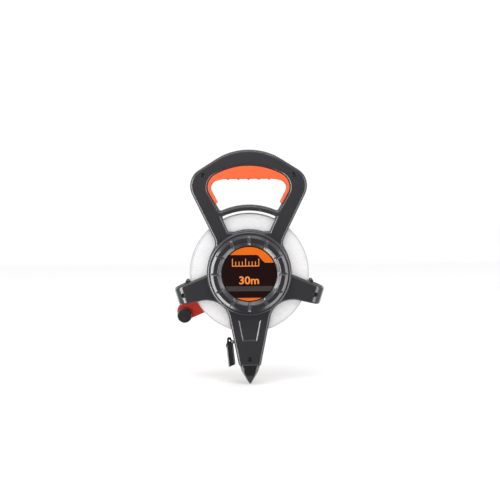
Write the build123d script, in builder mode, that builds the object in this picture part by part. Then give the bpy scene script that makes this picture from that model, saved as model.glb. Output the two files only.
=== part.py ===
from build123d import *
from math import acos, atan2, cos, degrees, hypot, radians, sin, sqrt
import os

os.makedirs("parts", exist_ok=True)

# Open-reel tape measure, 30 m by 13 mm. Origin: on the reel's axis, midway between the frame halves.
# +Z is up towards the handle, the ground spike points down, and the front faces -Y. Millimetres.

# ---- tape and reel ----
TAPE_WIDTH = 13.0
TAPE_THICK = 0.4
COIL_INNER_R = 23.0
COIL_OUTER_R = 66.0
REEL_R = 71.9
FLANGE_IN_Y = 7.0
FLANGE_THICK = 1.6
FLANGE_OUT_Y = FLANGE_IN_Y + FLANGE_THICK
LIP_Y = 9.4
LIP_WIDTH = 2.0
AXLE_R = 5.0
AXLE_SQUARE = 12.0
REEL_SCREW_R = 15.5
REEL_SCREWS = 4

# ---- frame halves: trays with their open sides facing each other ----
WALL = 2.2
PLATE_Y = 16.0          # outer face of the plates
CAVITY_Y = PLATE_Y - WALL
REEL_GAP_Y = 10.2       # the reel turns between these two planes
REEL_SPACE_R = 74.0
FRAME_FILLET = 3.0
BOSS_R = 51.0           # round boss over the bearing
BOSS_Y = 21.0
BOSS_FLOOR_Y = BOSS_Y - WALL
BEARING_TUBE_R = 11.0
BUSH_R = 7.0
GUARD_IN_R = 75.2       # finger guard, concentric with the reel
GUARD_OUT_R = 82.0
LEG_BOTTOM_Z = -112.4

# ---- frame screws: two in the handle, two in the arms, one in the leg ----
HANDLE_SCREW = (54.1, 117.9)
ARM_SCREW = (79.4, -26.4)
LEG_SCREW = (0.0, -104.5)
SCREW_SPOTS = [HANDLE_SCREW, (-HANDLE_SCREW[0], HANDLE_SCREW[1]),
               ARM_SCREW, (-ARM_SCREW[0], ARM_SCREW[1]), LEG_SCREW]
SCREW_BOSS_R = 4.3
SCREW_SHANK_R = 1.5
SCREW_HEAD_R = 2.5
SCREW_HEAD_H = 2.4
SCREW_SEAT_Y = 9.0      # depth of the counterbore's floor in front of the parting plane
SCREW_END_Y = 10.0
COUNTERBORE_R = 2.8
CLEARANCE_R = 1.7
PILOT_R = 1.55

# ---- bearings and axle ----
RUNNING = 0.05          # radial clearance of every running fit
BUSH_FLANGE = 1.2
AXLE_FRONT_Y = 22.9
AXLE_REAR_Y = 24.4
DRIVE_SQUARE = 7.0
CLIP_Y = 21.3
CLIP_T = 1.0
HUB_SCREW_R = 1.6
HUB_SCREW_DEPTH = 12.0
HUB_SCREW_HEAD = 3.8
HUB_SCREW_HEAD_H = 1.5
DRUM_WALL = 2.4
DRUM_TUBE_R = 10.0
REEL_SCREW_SHANK = 1.25
REEL_SCREW_HEAD = 2.4

# ---- hub cover and label ----
COVER_R = 47.0
COVER_CREST = (38.6, 43.1)      # radii of the cover's flat crest
COVER_CREST_Y = 27.5
COVER_WALL = 1.8
LABEL_SEAT_R = 33.4
LABEL_SEAT_Y = 24.6
LABEL_FLOOR = 1.4
LABEL_R = 33.0
LABEL_THICK = 0.4
COVER_NOTCHES = 12
COVER_CLIPS = 3
CLIP_R = 28.0
CLIP_WIDTH = 7.0
CLIP_THICK = 1.6
NOTCH_HALF = 1.7
NOTCH_DEPTH = 1.3

# ---- folding crank ----
CRANK_ANGLE = 214.3     # direction of the folded arm, in degrees from +X towards +Z
HINGE_Y = 30.0
KNOB_REACH = 97.0
CRANK_THICK = 6.0
DOGLEG = 9.0
KNOB_R = 9.0
KNOB_LENGTH = 18.0
KNOB_FLUTES = 28
CRANK_HUB_R = 24.0
CRANK_HUB_Y = 21.6
CRANK_HUB_TOP_Y = 26.0
HINGE_PIN_R = 2.0
HINGE_BARREL_R = 3.6
ARM_ROOT_HALF = 12.2
EAR_IN = 12.5
EAR_OUT = 17.0
EAR_R = 4.4
EAR_FOOT = 7.0
ARM_TIP = (94.2, 2.6)
ARM_TIP_R = 10.8
KNOB_PIN_R = 2.0

# ---- tape mouth and end hook ----
CLIP_PIVOT = (-20.0, -85.0)     # wire loop's pivot in the tape's end clip (X, Z)
HOOK_PIVOT = (-25.1, -82.2)     # end hook's pivot on the wire loop (X, Z)
HOOK_TILT = 6.0
HOOK_LENGTH = 32.0
HOOK_THICK = 8.0
HOOK_WIDTH = 20.0
WIRE_R = 0.8
WIRE_BORE_R = 0.86
LOOP_HALF_WIDTH = 5.2
BARREL_HALF = 4.0
ROLLER_R = 2.5
ROLLER_HALF = 7.2
ROLLER_PIN_R = 1.0
ROLLER_BACK = 7.6               # from the clip's pivot back along the tape to the rollers
ROLLER_OFFSET = 3.1

HOOK_EYE_R = 2.7
HOOK_NECK = 5.6
HOOK_ROUND_R = 2.2
HOOK_WINDOW_WIDTH = 11.0
HOOK_WINDOW_HEIGHT = 10.0
HOOK_WINDOW_MID = 20.5
NAIL_HOLE_R = 2.1
NAIL_HOLE_DOWN = 10.4
CLIP_BARREL_R = 1.75
CLIP_LENGTH = 5.5
CLIP_PLATE = 0.6
RIVET_R = 0.9
RIVET_BACK = 3.7

# ---- ground spike ----
SPIKE_TOP_Z = LEG_BOTTOM_Z
SPIKE_COLLAR_Z = -114.8
SPIKE_TIP_Z = -137.2
TANG_TOP_Z = -95.0
TANG_HALF_X = 8.0
TANG_HALF_Y = 6.0
SPIKE_LIP = (23.6, 23.0)
SPIKE_LIP_H = 1.2
SPIKE_NECK = (22.4, 20.4)
SPIKE_CURVE = 1.45      # how full the spike is between its collar and its tip
SPIKE_LAYERS = [0.0, 0.25, 0.5, 0.75, 0.97]
SPIKE_SECTION = [(7.7, -9.7), (9.1, -9.05), (11.8, -4.6), (11.8, 4.6), (9.1, 9.05), (7.7, 9.7),
                 (-7.7, 9.7), (-9.1, 9.05), (-11.8, 4.6), (-11.8, -4.6), (-9.1, -9.05), (-7.7, -9.7)]


def save(piece, name):
    """Labels a finished piece and writes its STEP file."""
    piece.part.label = name
    export_step(piece.part, f"parts/{name}.step")


def facing(depth):
    """Sketch plane at y = -depth: its x is X, its y is Z, and it extrudes towards the front."""
    return Plane.XZ.offset(depth)


# ======================================================================
# Outlines of the frame, drawn once and used by both halves
# ======================================================================

ARM_TOP_END = Vector(91.0, 0, -18.4)
ARM_LOW_END = Vector(84.6, 0, -39.2)

with BuildSketch() as silhouette:
    with BuildLine():
        handle_top = TangentArc((0, 148.1), (40.0, 136.6), tangent=(1, 0))
        shoulder = TangentArc(handle_top @ 1, (59.8, 124.1), tangent=handle_top % 1)
        handle_corner = TangentArc(shoulder @ 1, (70.0, 102.5), tangent=shoulder % 1)
        handle_heel = TangentArc(handle_corner @ 1, (68.0, 95.2), tangent=handle_corner % 1)
        strut = Line(handle_heel @ 1, (42.2, 42.0))
        neck = ThreePointArc(strut @ 1, (40.8, 36.2), (43.0, 29.5))
        hub_side = ThreePointArc(neck @ 1, (49.6, 12.5), (50.6, -1.4))
        arm_top = Line(hub_side @ 1, (ARM_TOP_END.X, ARM_TOP_END.Z))
        arm_end = Line(arm_top @ 1, (ARM_LOW_END.X, ARM_LOW_END.Z))
        arm_under = Line(arm_end @ 1, (58.0, -33.0))
        crotch_top = ThreePointArc(arm_under @ 1, (46.5, -33.0), (36.5, -37.0))
        crotch = ThreePointArc(crotch_top @ 1, (29.0, -44.0), (25.0, -54.0))
        leg_side = Line(crotch @ 1, (13.8, -110.0))
        leg_corner = Line(leg_side @ 1, (12.6, LEG_BOTTOM_Z))
        Line(leg_corner @ 1, (0, LEG_BOTTOM_Z))
        mirror(about=Plane.YZ)
    make_face()

GUARD_END = (34.9, sqrt(GUARD_OUT_R**2 - 34.9**2))
WINDOW_TOP = (32.7, sqrt(GUARD_IN_R**2 - 32.7**2))
GUARD_MID = radians(78)

with BuildSketch() as finger_opening:
    with BuildLine():
        arch = TangentArc((0, 129.2), (27.0, 124.6), tangent=(1, 0))
        arch_side = TangentArc(arch @ 1, (39.0, 119.6), tangent=arch % 1)
        arch_corner = TangentArc(arch_side @ 1, (49.2, 103.0), tangent=arch_side % 1)
        arch_heel = TangentArc(arch_corner @ 1, (47.8, 97.0), tangent=arch_corner % 1)
        Line(arch_heel @ 1, GUARD_END)
        guard_mid = (GUARD_OUT_R * cos(GUARD_MID), GUARD_OUT_R * sin(GUARD_MID))
        ThreePointArc(GUARD_END, guard_mid, (0, GUARD_OUT_R))
        mirror(about=Plane.YZ)
    make_face()
    fillet(finger_opening.vertices().group_by(Axis.Y)[0:1][0], 3.0)

with BuildSketch() as window:
    with BuildLine():
        guard_mid = (GUARD_IN_R * cos(GUARD_MID), GUARD_IN_R * sin(GUARD_MID))
        ThreePointArc((0, GUARD_IN_R), guard_mid, WINDOW_TOP)
        Line(WINDOW_TOP, (24.9, 50.2))
        Line((24.9, 50.2), (17.0, 50.2))
        ThreePointArc((17.0, 50.2), (8.5, 52.3), (0, 53.0))
        mirror(about=Plane.YZ)
    make_face()

with BuildSketch() as frame_face:
    add(silhouette.sketch)
    add(finger_opening.sketch, mode=Mode.SUBTRACT)
    add(window.sketch, mode=Mode.SUBTRACT)

with BuildSketch() as cavity_face:
    add(frame_face.sketch)
    offset(amount=-WALL, kind=Kind.INTERSECTION, mode=Mode.REPLACE)


# ======================================================================
# Grip and rib strip: their tongues pass through slots in the trays' walls
# ======================================================================

GRIP_Y = 15.0
GRIP_END_Z = 84.0
GRIP_SIDE = 3.4
GRIP_FILLET = 1.2
TONGUE_Y = 6.0
TONGUE_REACH = WALL + 0.3
SLOT_GAP = 0.05
TEETH_X = [-24.6, -12.3, 0.0, 12.3, 24.6]
TOOTH_H = 1.5
STRIP_CENTRE_Z = 72.8   # centre of the handle's top arc
STRIP_R = 75.3          # radius of the handle's top arc
STRIP_HALF_ANGLE = 29.0
STRIP_TOP_R = 74.8
STRIP_RIB_R = 75.7
STRIP_Y = 9.0
STRIP_FLANGE_Y = 10.6
STRIP_FLANGE_R = 71.8
STRIP_PITCH = 2.4

with BuildSketch() as grip_face:
    with BuildLine():
        side_end = arch_heel @ 1
        share = (side_end.Y - GRIP_END_Z) / (side_end.Y - GUARD_END[1])
        grip_end_x = side_end.X - share * (side_end.X - GUARD_END[0])
        Line((0, 129.2), (0, 113.2))
        under = Line((0, 113.2), (26.0, 113.2))
        under_side = TangentArc(under @ 1, (39.0, 111.0), tangent=(1, 0))
        under_corner = TangentArc(under_side @ 1, (46.0, 101.5), tangent=under_side % 1)
        tail = Line(under_corner @ 1, (grip_end_x - GRIP_SIDE, GRIP_END_Z))
        tail_end = Line(tail @ 1, (grip_end_x, GRIP_END_Z))
        Line(tail_end @ 1, side_end)
        add(arch.edges() + arch_side.edges() + arch_corner.edges() + arch_heel.edges())
    make_face()
    mirror(about=Plane.YZ)
    fillet(grip_face.vertices().group_by(Axis.Y)[0], 1.3)
    heels = grip_face.vertices().filter_by(lambda corner: abs(corner.Y - (under_corner @ 1).Y) < 0.01)
    fillet(heels, 8.0)

with BuildSketch() as tongue_face:
    with BuildLine():
        add(arch.edges() + arch_side.edges() + arch_corner.edges() + arch_heel.edges())
        mirror(about=Plane.YZ)
        arch_line = offset(amount=TONGUE_REACH, side=Side.BOTH, mode=Mode.REPLACE)
    make_face()


def sector(inner_r, outer_r, half_angle):
    """Ring sector about the centre of the handle's top arc."""
    with BuildSketch() as band:
        with BuildLine():
            outer = CenterArc((0, STRIP_CENTRE_Z), outer_r, 90 - half_angle, 2 * half_angle)
            inner = CenterArc((0, STRIP_CENTRE_Z), inner_r, 90 - half_angle, 2 * half_angle)
            Line(outer @ 0, inner @ 0)
            Line(outer @ 1, inner @ 1)
        make_face()
    return band.sketch


# The tape leaves the coil along a tangent and runs straight through the leg to the mouth.
LEAD_R = COIL_OUTER_R + 0.08 + TAPE_THICK / 2
PIVOT_DISTANCE = hypot(*CLIP_PIVOT)
TANGENT_ANGLE = atan2(CLIP_PIVOT[1], CLIP_PIVOT[0]) + acos(LEAD_R / PIVOT_DISTANCE)
TANGENT_POINT = Vector(LEAD_R * cos(TANGENT_ANGLE), LEAD_R * sin(TANGENT_ANGLE))
TAPE_OUT = (Vector(*CLIP_PIVOT) - TANGENT_POINT).normalized()
TAPE_UP = Vector(TAPE_OUT.Y, -TAPE_OUT.X)
TAPE_SLOPE = degrees(atan2(TAPE_OUT.Y, TAPE_OUT.X))


def on_tape(back, up=0.0):
    """Point (X, Z) on the tape's straight run, measured back from the clip's pivot and above the tape."""
    return Vector(*CLIP_PIVOT) - TAPE_OUT * back + TAPE_UP * up


ROLLER_SPOTS = {"upper": on_tape(ROLLER_BACK, ROLLER_OFFSET), "lower": on_tape(ROLLER_BACK, -ROLLER_OFFSET)}

RIB_THICK = 1.6
HUB_RIBS = 6
ARM_ROUND_R = 12.0      # quarter round at the end of each side arm
ARM_END_LINE = (ARM_LOW_END - ARM_TOP_END).normalized()
ARM_INWARD = Vector(ARM_END_LINE.Z, 0, -ARM_END_LINE.X)
ARM_FLAT_END = (ARM_TOP_END + ARM_LOW_END) * 0.5 + ARM_INWARD * ARM_ROUND_R
PANEL_DEPTH = 0.55
PANEL_SLOPE = 1.3       # width of the panel's sloping border
PANEL = [(-12.1, -57.8), (12.1, -57.8), (7.7, -80.8), (-7.7, -80.8)]
RIM_POST = (74.9, -10.4)
RIM_POST_R = 2.2
MOUTH_LENGTH = 9.0
MOUTH_HEIGHT = 6.4
MOUTH_Y = 7.6
PIN_END_Y = 13.0


def arm_corner(radius):
    """Corner of both arms' ends that lies outside a cylinder of this radius, to be cut away."""
    centre = ARM_TOP_END + ARM_INWARD * ARM_ROUND_R + Vector(0, ARM_ROUND_R - PLATE_Y, 0)
    with BuildPart() as corner:
        with BuildSketch(Plane(origin=centre - ARM_END_LINE * 5, x_dir=-ARM_INWARD, z_dir=ARM_END_LINE)):
            Rectangle(ARM_ROUND_R + 4, ARM_ROUND_R + 4, align=Align.MIN)
            Circle(radius, mode=Mode.SUBTRACT)
        extrude(amount=(ARM_LOW_END - ARM_TOP_END).length + 10)
        mirror(about=Plane.YZ)
    return corner.part


# round boss over the bearing
with BuildPart() as hub_boss:
    with BuildSketch(facing(0)):
        Circle(BOSS_R)
    extrude(amount=BOSS_Y)
    fillet(hub_boss.faces().sort_by(Axis.Y)[0].edges(), FRAME_FILLET)

def at_arm_flat_end(spot):
    """True near the smooth lines where the front face curves away to the arms' ends."""
    return hypot(abs(spot.X) - ARM_FLAT_END.X, spot.Z - ARM_FLAT_END.Z) < 3


# hollow of a tray
with BuildPart() as cavity:
    with BuildSketch(facing(0)):
        add(cavity_face.sketch)
    extrude(amount=CAVITY_Y)
    add(arm_corner(ARM_ROUND_R - WALL), mode=Mode.SUBTRACT)

# front tray without screw holes; the rear one is its mirror image
with BuildPart() as tray:
    with BuildSketch(facing(0)):
        add(frame_face.sketch)
    extrude(amount=PLATE_Y)
    add(arm_corner(ARM_ROUND_R), mode=Mode.SUBTRACT)
    rim = tray.faces().sort_by(Axis.Y)[0].edges()
    fillet(rim.filter_by(lambda edge: not at_arm_flat_end(edge.center())), FRAME_FILLET)
    add(hub_boss.part)
    add(cavity.part, mode=Mode.SUBTRACT)
    with BuildSketch(facing(0)):
        Circle(REEL_SPACE_R)
    extrude(amount=REEL_GAP_Y, mode=Mode.SUBTRACT)
    with BuildSketch(facing(REEL_GAP_Y)):
        Circle(BOSS_R - WALL)
    extrude(amount=BOSS_FLOOR_Y - REEL_GAP_Y, mode=Mode.SUBTRACT)

    # bearing tube and the ribs that brace it
    with BuildSketch(facing(REEL_GAP_Y)):
        Circle(BEARING_TUBE_R)
    extrude(amount=BOSS_FLOOR_Y - REEL_GAP_Y)
    with BuildSketch(facing(REEL_GAP_Y + 0.4)):
        with PolarLocations((BOSS_R - WALL) / 2, HUB_RIBS, start_angle=90 / HUB_RIBS):
            Rectangle(BOSS_R - WALL, RIB_THICK)
    extrude(amount=BOSS_FLOOR_Y - REEL_GAP_Y - 0.4)
    with BuildSketch(facing(REEL_GAP_Y)):
        Circle(BUSH_R)
    extrude(amount=BOSS_Y - REEL_GAP_Y, mode=Mode.SUBTRACT)

    # screw bosses, and the rounded posts where the arms' walls pass the reel's rim
    with BuildSketch(facing(0)):
        with Locations(*SCREW_SPOTS[:4]):
            Circle(SCREW_BOSS_R)
    extrude(amount=CAVITY_Y)
    with BuildSketch(facing(TANG_HALF_Y + 0.1)):
        with Locations(LEG_SCREW):
            Circle(SCREW_BOSS_R)
    extrude(amount=CAVITY_Y - TANG_HALF_Y - 0.1)
    with BuildSketch(facing(0)):
        with Locations(RIM_POST, (-RIM_POST[0], RIM_POST[1])):
            Circle(RIM_POST_R)
    extrude(amount=PLATE_Y - FRAME_FILLET)

    # slots between the halves for the grip's tongue and the rib strip
    with BuildSketch(facing(0)):
        add(tongue_face.sketch)
    extrude(amount=TONGUE_Y + SLOT_GAP, mode=Mode.SUBTRACT)
    with BuildSketch(facing(0)):
        add(sector(STRIP_FLANGE_R, STRIP_R + 1, STRIP_HALF_ANGLE + 0.05))
    extrude(amount=STRIP_Y + SLOT_GAP, mode=Mode.SUBTRACT)

    # tape mouth in the leg's left wall, and the bosses that hold the rollers' pins
    with BuildSketch(facing(0)):
        with Locations(Location(tuple(on_tape(1.0)), TAPE_SLOPE)):
            Rectangle(MOUTH_LENGTH, MOUTH_HEIGHT)
    extrude(amount=MOUTH_Y, mode=Mode.SUBTRACT)
    with BuildSketch(facing(ROLLER_HALF + 0.4)):
        with Locations(*ROLLER_SPOTS.values()):
            Circle(ROLLER_PIN_R + 1.4)
    extrude(amount=CAVITY_Y - ROLLER_HALF - 0.4)
    with BuildSketch(facing(ROLLER_HALF)):
        with Locations(*ROLLER_SPOTS.values()):
            Circle(ROLLER_PIN_R)
    extrude(amount=PIN_END_Y - ROLLER_HALF, mode=Mode.SUBTRACT)

    # way out of the leg's lower end for the spike's tang
    with BuildSketch(facing(0)):
        with Locations((0, LEG_BOTTOM_Z)):
            Rectangle(2 * TANG_HALF_X + 0.2, 4 * WALL)
    extrude(amount=TANG_HALF_Y + 0.1, mode=Mode.SUBTRACT)
    add(arm_corner(ARM_ROUND_R), mode=Mode.SUBTRACT)

# ======================================================================
# Frame body
# ======================================================================

with BuildPart() as front_frame:
    add(tray.part)
    with BuildSketch(facing(PLATE_Y - PANEL_DEPTH)):
        Polygon(*PANEL, align=None)
    with BuildSketch(facing(PLATE_Y + PANEL_DEPTH)):
        Polygon(*PANEL, align=None)
        offset(amount=2 * PANEL_SLOPE, kind=Kind.INTERSECTION)
    loft(ruled=True, mode=Mode.SUBTRACT)
    with BuildSketch(facing(SCREW_SEAT_Y)):
        with Locations(*SCREW_SPOTS):
            Circle(COUNTERBORE_R)
    extrude(amount=BOSS_Y, mode=Mode.SUBTRACT)
    with BuildSketch(facing(0)):
        with Locations(*SCREW_SPOTS):
            Circle(CLEARANCE_R)
    extrude(amount=BOSS_Y, mode=Mode.SUBTRACT)
    with BuildSketch(facing(BOSS_FLOOR_Y - 1)):
        with PolarLocations(CLIP_R, COVER_CLIPS, start_angle=90):
            Rectangle(CLIP_THICK + 1.0, CLIP_WIDTH + 0.6)
    extrude(amount=WALL + 2, mode=Mode.SUBTRACT)
save(front_frame, "front_frame")

with BuildPart() as rear_frame:
    mirror(tray.part, about=Plane.XZ)
    with BuildSketch(facing(0)):
        with Locations(*SCREW_SPOTS):
            Circle(PILOT_R)
    extrude(amount=-(SCREW_END_Y + 1), mode=Mode.SUBTRACT)
save(rear_frame, "rear_frame")

with BuildPart() as grip_insert:
    with BuildSketch(facing(-GRIP_Y)):
        add(grip_face.sketch)
    extrude(amount=2 * GRIP_Y)
    fillet(grip_insert.faces().filter_by(Axis.Y).edges(), GRIP_FILLET)
    with BuildSketch(facing(-TONGUE_Y)):
        add(tongue_face.sketch)
    extrude(amount=2 * TONGUE_Y)
    with BuildSketch(facing(GRIP_FILLET - GRIP_Y)):
        with Locations(*[(x, 113.2) for x in TEETH_X]):
            Polygon((-2.2, 0.3), (2.2, 0.3), (0, -TOOTH_H), align=None)
    extrude(amount=2 * (GRIP_Y - GRIP_FILLET))
save(grip_insert, "grip_insert")

RIB_ANGLE = degrees(STRIP_PITCH / STRIP_R)
RIB_COUNT = 2 * int(STRIP_HALF_ANGLE / RIB_ANGLE) - 1

with BuildPart() as handle_rib_strip:
    with BuildSketch(facing(-STRIP_Y)):
        add(sector(STRIP_R - WALL - 0.05, STRIP_TOP_R, STRIP_HALF_ANGLE))
        with Locations(*[Location((0, STRIP_CENTRE_Z), (i - RIB_COUNT // 2) * RIB_ANGLE)
                         for i in range(RIB_COUNT)]):
            with Locations((0, (STRIP_TOP_R + STRIP_RIB_R) / 2 - 0.1)):
                Rectangle(STRIP_PITCH / 2, STRIP_RIB_R - STRIP_TOP_R + 0.2)
    extrude(amount=2 * STRIP_Y)
    with BuildSketch(facing(-STRIP_FLANGE_Y)):
        add(sector(STRIP_FLANGE_R, STRIP_R - WALL - 0.05, STRIP_HALF_ANGLE - 0.5))
    extrude(amount=2 * STRIP_FLANGE_Y)
save(handle_rib_strip, "handle_rib_strip")

# V-shaped notch across the cover's crest and inner slope, deepest along its middle
with BuildPart() as notch:
    notch_top = [(LABEL_SEAT_R + 0.2, -29.0), (45.4, -29.0)]
    notch_floor = [(45.4, -26.3), (43.0, NOTCH_DEPTH - COVER_CREST_Y), (38.9, NOTCH_DEPTH - COVER_CREST_Y),
                   (LABEL_SEAT_R + 0.2, -24.95)]
    notch_edge = [(45.4, -26.5), (43.1, -COVER_CREST_Y), (38.6, -COVER_CREST_Y), (LABEL_SEAT_R + 0.2, -25.0)]
    for half in (-NOTCH_HALF, NOTCH_HALF):
        with BuildSketch(Plane.XY):
            Polygon(*notch_floor, *notch_top, align=None)
        with BuildSketch(Plane.XY.offset(half)):
            Polygon(*notch_edge, *notch_top, align=None)
        loft(ruled=True)

with BuildPart() as hub_cover:
    with BuildSketch(Plane.XY):
        with BuildLine():
            foot = Line((COVER_R, -BOSS_Y), (COVER_R, -25.0))
            rise = ThreePointArc(foot @ 1, (COVER_R - 0.3, -25.5), (COVER_R - 0.8, -26.1))
            outer_slope = Line(rise @ 1, (COVER_CREST[1], -COVER_CREST_Y))
            crest = Line(outer_slope @ 1, (COVER_CREST[0], -COVER_CREST_Y))
            roll = ThreePointArc(crest @ 1, (37.6, -27.25), (36.7, -26.65))
            slope = Line(roll @ 1, (LABEL_SEAT_R + 0.3, -LABEL_SEAT_Y - 0.35))
            well = Line(slope @ 1, (LABEL_SEAT_R, -LABEL_SEAT_Y))
            floor = Line(well @ 1, (0, -LABEL_SEAT_Y))
            middle = Line(floor @ 1, (0, LABEL_FLOOR - LABEL_SEAT_Y))
            inside = Polyline(middle @ 1, (36.2, LABEL_FLOOR - LABEL_SEAT_Y), (39.0, -25.2), (42.8, -25.2),
                              (44.6, -24.0), (COVER_R - COVER_WALL, -22.2), (COVER_R - COVER_WALL, -BOSS_Y))
            Line(inside @ 1, foot @ 0)
        make_face()
    revolve(axis=Axis.Y)
    for i in range(COVER_NOTCHES):
        add(notch.part.rotate(Axis.Y, i * 360 / COVER_NOTCHES), mode=Mode.SUBTRACT)
    with BuildSketch(facing(BOSS_FLOOR_Y - 0.2)):
        with PolarLocations(CLIP_R, COVER_CLIPS, start_angle=90):
            Rectangle(CLIP_THICK, CLIP_WIDTH)
    extrude(amount=LABEL_SEAT_Y - LABEL_FLOOR - BOSS_FLOOR_Y + 0.3)
    with BuildSketch(facing(BOSS_FLOOR_Y - 1.2)):
        with PolarLocations(CLIP_R + 0.3, COVER_CLIPS, start_angle=90):
            Rectangle(CLIP_THICK + 0.6, CLIP_WIDTH)
    extrude(amount=1.0)
save(hub_cover, "hub_cover")

with BuildPart() as hub_label:
    with BuildSketch(facing(LABEL_SEAT_Y)):
        Circle(LABEL_R)
    extrude(amount=LABEL_THICK)
save(hub_label, "hub_label")

with BuildPart() as frame_screws:
    with BuildSketch(facing(SCREW_SEAT_Y)):
        with Locations(*SCREW_SPOTS):
            Circle(SCREW_HEAD_R)
    extrude(amount=SCREW_HEAD_H)
    with BuildSketch(facing(-SCREW_END_Y)):
        with Locations(*SCREW_SPOTS):
            Circle(SCREW_SHANK_R)
    extrude(amount=SCREW_END_Y + SCREW_SEAT_Y)
    with BuildSketch(facing(SCREW_SEAT_Y + SCREW_HEAD_H)):
        with Locations(*SCREW_SPOTS):
            Rectangle(3.0, 0.8)
            Rectangle(0.8, 3.0)
    extrude(amount=-1.2, mode=Mode.SUBTRACT)
save(frame_screws, "frame_screws")


def bush(side):
    """Flanged plain bearing in a tray's bearing tube; side is -1 in front and 1 at the rear."""
    with BuildPart() as piece:
        with BuildSketch(facing(-side * REEL_GAP_Y)):
            Circle(BUSH_R)
        extrude(amount=-side * (BOSS_Y - REEL_GAP_Y))
        with BuildSketch(facing(-side * REEL_GAP_Y)):
            Circle(BUSH_R + 2)
        extrude(amount=side * BUSH_FLANGE)
        with BuildSketch(facing(-side * (REEL_GAP_Y - BUSH_FLANGE))):
            Circle(AXLE_R + RUNNING)
        extrude(amount=-side * (BOSS_Y - REEL_GAP_Y + BUSH_FLANGE), mode=Mode.SUBTRACT)
    return piece


save(bush(-1), "front_bush")
save(bush(1), "rear_bush")

with BuildPart() as ground_spike:
    with BuildSketch(Plane.XY.offset(TANG_TOP_Z)):
        Rectangle(2 * TANG_HALF_X, 2 * TANG_HALF_Y)
    extrude(amount=SPIKE_TOP_Z - TANG_TOP_Z - 1)
    with BuildSketch(Plane.XY.offset(SPIKE_TOP_Z)):
        RectangleRounded(*SPIKE_LIP, 4.0)
    extrude(amount=-SPIKE_LIP_H)
    with BuildSketch(Plane.XY.offset(SPIKE_TOP_Z - SPIKE_LIP_H)):
        RectangleRounded(*SPIKE_NECK, 3.0)
    extrude(amount=SPIKE_COLLAR_Z - SPIKE_TOP_Z + SPIKE_LIP_H)
    for layer in SPIKE_LAYERS:
        share = 1 - layer**SPIKE_CURVE
        with BuildSketch(Plane.XY.offset(SPIKE_COLLAR_Z + layer * (SPIKE_TIP_Z - SPIKE_COLLAR_Z))):
            Polygon(*[(x * share, y * share) for x, y in SPIKE_SECTION], align=None)
    loft(ruled=True)
    with BuildSketch(facing(-TANG_HALF_Y)):
        with Locations(LEG_SCREW):
            Circle(CLEARANCE_R)
    extrude(amount=2 * TANG_HALF_Y, mode=Mode.SUBTRACT)
save(ground_spike, "ground_spike")

with BuildPart() as roller_pins:
    with BuildSketch(facing(-PIN_END_Y)):
        with Locations(*ROLLER_SPOTS.values()):
            Circle(ROLLER_PIN_R)
    extrude(amount=2 * PIN_END_Y)
save(roller_pins, "roller_pins")

for place, spot in ROLLER_SPOTS.items():
    with BuildPart() as guide_roller:
        with BuildSketch(facing(-ROLLER_HALF)):
            with Locations(spot):
                Circle(ROLLER_R)
                Circle(ROLLER_PIN_R + RUNNING, mode=Mode.SUBTRACT)
        extrude(amount=2 * ROLLER_HALF)
    save(guide_roller, f"{place}_guide_roller")

# ======================================================================
# Reel body
# ======================================================================

with BuildPart() as axle_shaft:
    with BuildSketch(facing(-CRANK_HUB_Y + 0.4)):
        Circle(AXLE_R)
    extrude(amount=CRANK_HUB_Y - 0.4 + AXLE_FRONT_Y)
    with BuildSketch(facing(-FLANGE_OUT_Y)):
        Rectangle(AXLE_SQUARE, AXLE_SQUARE)
    extrude(amount=2 * FLANGE_OUT_Y)
    with BuildSketch(facing(-AXLE_REAR_Y)):
        Rectangle(DRIVE_SQUARE, DRIVE_SQUARE)
    extrude(amount=AXLE_REAR_Y - CRANK_HUB_Y + 0.4)
    with BuildSketch(facing(CLIP_Y)):
        Circle(AXLE_R + 1)
        Circle(AXLE_R - 1, mode=Mode.SUBTRACT)
    extrude(amount=CLIP_T, mode=Mode.SUBTRACT)
    with BuildSketch(facing(-AXLE_REAR_Y)):
        Circle(HUB_SCREW_R)
    extrude(amount=HUB_SCREW_DEPTH, mode=Mode.SUBTRACT)
save(axle_shaft, "axle_shaft")

with BuildPart() as axle_clip:
    with BuildSketch(facing(CLIP_Y)):
        Circle(AXLE_R + 1.8)
        Circle(AXLE_R - 1, mode=Mode.SUBTRACT)
        with Locations((0, -AXLE_R)):
            Rectangle(6.0, AXLE_R + 4, mode=Mode.SUBTRACT)
    extrude(amount=CLIP_T)
save(axle_clip, "axle_clip")

with BuildPart() as reel_drum:
    with BuildSketch(facing(-FLANGE_IN_Y)):
        Circle(COIL_INNER_R)
        Circle(COIL_INNER_R - DRUM_WALL, mode=Mode.SUBTRACT)
        Circle(DRUM_TUBE_R)
        with PolarLocations(COIL_INNER_R / 2, 2 * REEL_SCREWS):
            Rectangle(COIL_INNER_R - 1, RIB_THICK)
        with PolarLocations(REEL_SCREW_R, REEL_SCREWS):
            Circle(3.0)
        Rectangle(AXLE_SQUARE, AXLE_SQUARE, mode=Mode.SUBTRACT)
        with PolarLocations(REEL_SCREW_R, REEL_SCREWS):
            Circle(REEL_SCREW_SHANK, mode=Mode.SUBTRACT)
    extrude(amount=2 * FLANGE_IN_Y)
save(reel_drum, "reel_drum")


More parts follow.
